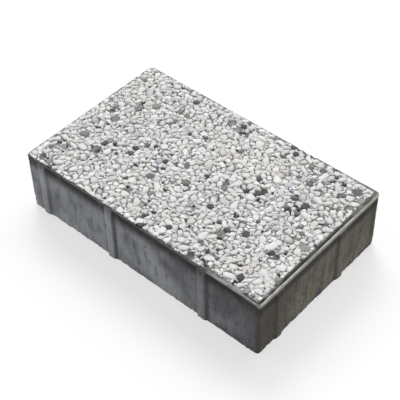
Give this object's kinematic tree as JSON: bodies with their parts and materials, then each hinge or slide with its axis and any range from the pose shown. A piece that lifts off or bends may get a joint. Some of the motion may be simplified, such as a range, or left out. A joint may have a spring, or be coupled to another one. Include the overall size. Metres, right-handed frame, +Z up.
{
  "type": "concrete paving tile",
  "caption": "Rectangular concrete paver with a washed stone-chip face, bevelled rim and cast spacer ribs on its sides.",
  "frame": {"origin": "centre of the underside", "axes": "+X along the long sides, +Y along the short sides, +Z up to the face that is walked on"},
  "size_m": [0.26, 0.16, 0.06],
  "materials": {
    "washed_concrete": "matt pressed concrete, grey on the sides, pale mixed stone chips standing out of the face"
  },
  "bodies": {
    "root": {"paving_tile": "washed_concrete"}
  },
  "joints": []
}
